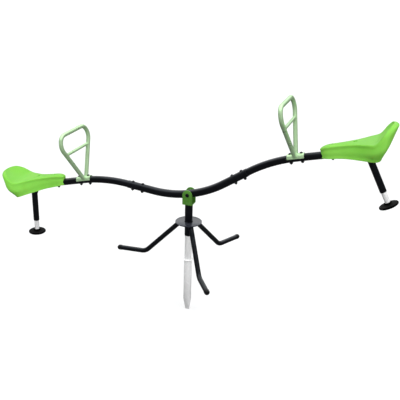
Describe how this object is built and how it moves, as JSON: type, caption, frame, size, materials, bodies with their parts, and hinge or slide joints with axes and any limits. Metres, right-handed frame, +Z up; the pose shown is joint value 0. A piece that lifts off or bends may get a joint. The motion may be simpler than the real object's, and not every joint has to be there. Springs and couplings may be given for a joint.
{
  "type": "seesaw",
  "caption": "Swivelling garden seesaw: gull-wing tube beam on a pivot post with bent legs and ground socket, loop handles, moulded seats and sprung bumper legs.",
  "frame": {"origin": "on the post's axis at ground level, at the upper end of the ground socket's tube", "axes": "+X along the beam towards the raised seat, +Y away from the viewer across the beam, +Z up; the beam stands at rest with its left end (-X) down"},
  "size_m": [1.8393, 0.6011, 1.0543],
  "materials": {
    "black_coat": "gloss black powder coat",
    "dark_bolts": "black coated steel",
    "black_plastic": "moulded black",
    "zinc": "zinc plated",
    "nylon": "natural",
    "yoke_green": "gloss mid green powder coat",
    "handle_green": "gloss pale green powder coat",
    "seat_lime": "satin blow-moulded lime green",
    "rubber_feet": "matte black"
  },
  "bodies": {
    "base": {"ground_socket": "zinc", "socket_point": "zinc", "socket_flange": "zinc", "centre_tube": "zinc", "base_sleeve": "black_coat", "sleeve_bolt": "dark_bolts", "sleeve_nut": "dark_bolts", "base_disc": "black_coat", "leg_sockets": "black_coat", "leg_spigots": "black_coat", "base_leg_left": "black_coat", "base_leg_front": "black_coat", "base_leg_right": "black_coat", "leg_caps": "black_plastic", "spindle": "zinc", "spindle_plug": "zinc", "retaining_bolt": "dark_bolts", "retaining_washer": "zinc"},
    "swivel": {"swivel_post": "black_coat", "thrust_washer": "black_plastic", "upper_spindle_bush": "nylon", "lower_spindle_bush": "nylon", "pivot_yoke": "yoke_green", "pivot_bolt": "dark_bolts", "pivot_nut": "dark_bolts"},
    "beam": {"beam_centre": "black_coat", "pivot_sleeve": "black_coat", "pivot_bushes": "nylon", "beam_left": "black_coat", "beam_right": "black_coat", "joint_bolts": "dark_bolts", "joint_nuts": "dark_bolts", "handle_left": "handle_green", "handle_right": "handle_green", "saddle_left": "handle_green", "saddle_right": "handle_green", "handle_bolts": "dark_bolts", "handle_nuts": "dark_bolts", "seat_left": "seat_lime", "seat_right": "seat_lime", "seat_bolts": "dark_bolts", "seat_nuts": "dark_bolts", "seat_caps": "seat_lime", "arm_plugs": "black_plastic", "bumper_tube_left": "black_coat", "bumper_tube_right": "black_coat", "bumper_gussets": "black_coat", "bumper_collars": "black_plastic", "bumper_spring_left": "zinc", "bumper_spring_right": "zinc"},
    "plunger_left": {"plunger_left": "zinc", "piston_left": "nylon", "foot_left": "rubber_feet"},
    "plunger_right": {"plunger_right": "zinc", "piston_right": "nylon", "foot_right": "rubber_feet"}
  },
  "joints": [
    {"name": "swivel", "type": "hinge", "parent": "base", "child": "swivel", "pos_m": [0, 0, 0.224], "axis": [0, 0, 1], "continuous": true},
    {"name": "seesaw_tilt", "type": "hinge", "parent": "swivel", "child": "beam", "pos_m": [0, 0, 0.324], "axis": [0, 1, 0], "range_deg": [0, 27.2]},
    {"name": "bumper_left", "type": "slide", "parent": "beam", "child": "plunger_left", "axis": [0, 0, 1], "range_m": [0, 0.03], "stiffness_N_per_m": 3000, "springref_m": -0.01, "deforming": ["bumper_spring_left"]},
    {"name": "bumper_right", "type": "slide", "parent": "beam", "child": "plunger_right", "axis": [-0.4571, 0, 0.8894], "range_m": [0, 0.03], "stiffness_N_per_m": 3000, "springref_m": -0.01, "deforming": ["bumper_spring_right"]}
  ]
}
